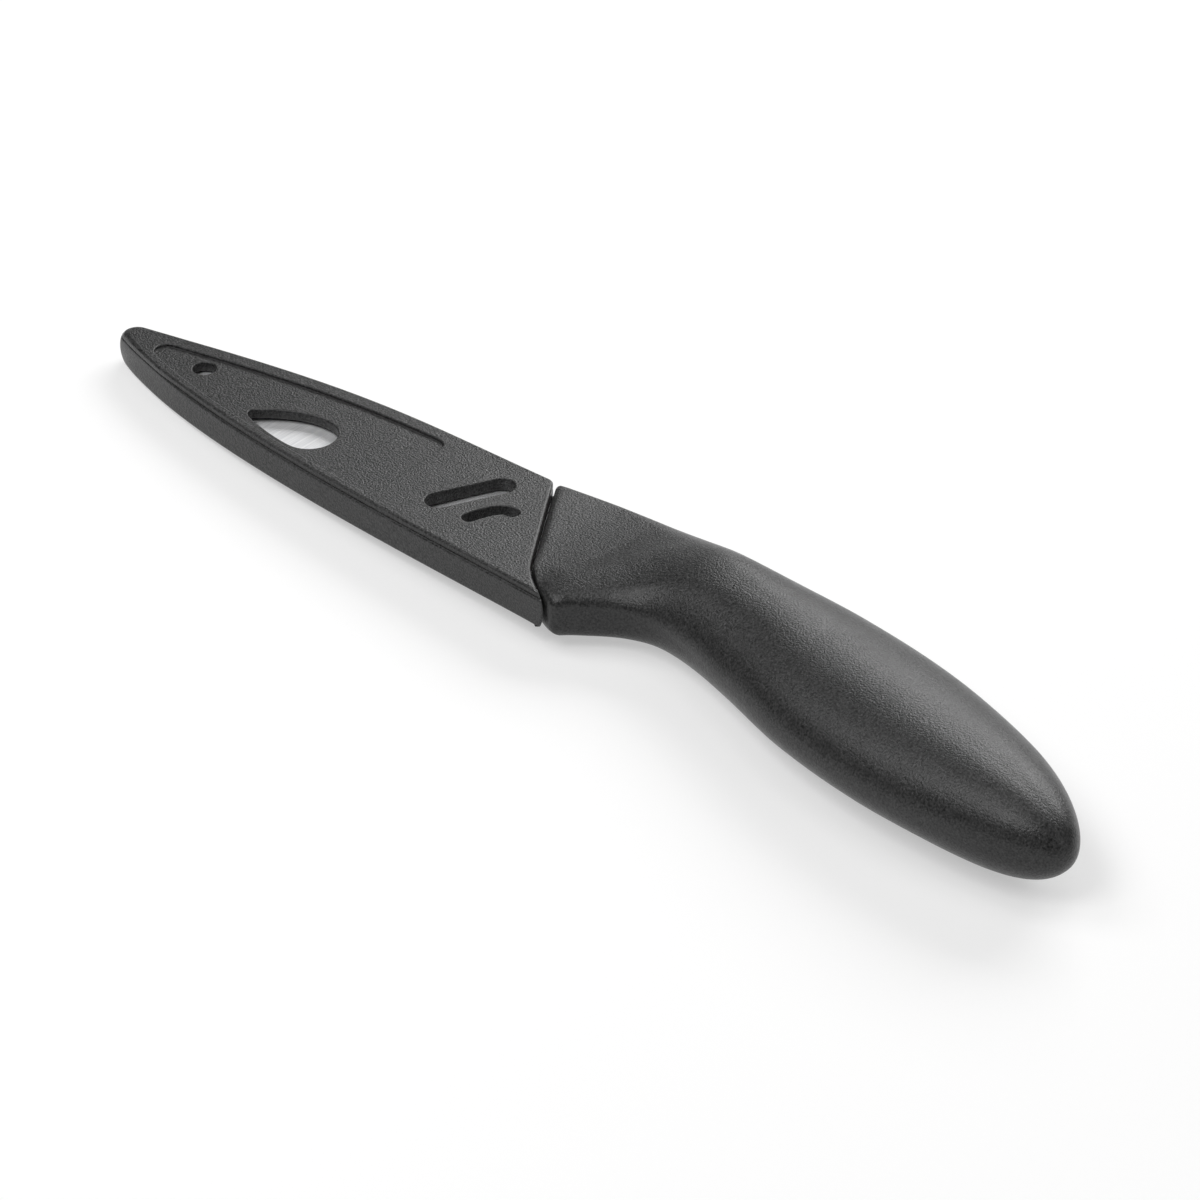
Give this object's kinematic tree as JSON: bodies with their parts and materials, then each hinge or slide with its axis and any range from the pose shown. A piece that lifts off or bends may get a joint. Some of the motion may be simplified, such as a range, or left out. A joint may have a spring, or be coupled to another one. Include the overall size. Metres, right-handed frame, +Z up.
{
  "type": "kitchen utility knife",
  "caption": "Short kitchen utility knife with a moulded grip and a push-on sheath with a sunk panel, a leaf-shaped window and slots.",
  "frame": {"origin": "under the middle of the box around the sheathed knife, on the surface that it lies on", "axes": "+X from the sheath's nose to the handle's butt, +Y from the cutting edge to the spine, +Z up off the surface"},
  "size_m": [0.2054, 0.0318, 0.0168],
  "materials": {
    "steel": "satin ground steel",
    "core_plastic": "plain moulded black plastic",
    "grip_plastic": "black plastic with a fine spark-eroded grain",
    "sheath_plastic": "black plastic with a fine spark-eroded grain"
  },
  "bodies": {
    "knife": {"blade": "steel", "handle_core_upper": "core_plastic", "handle_core_lower": "core_plastic", "handle_grip": "grip_plastic"},
    "sheath": {"sheath_tray": "sheath_plastic", "sheath_cover": "sheath_plastic"}
  },
  "joints": [
    {"name": "sheath_slide", "type": "slide", "parent": "knife", "child": "sheath", "axis": [-0.9995, 0, -0.0323], "range_m": [0, 0.105]}
  ]
}
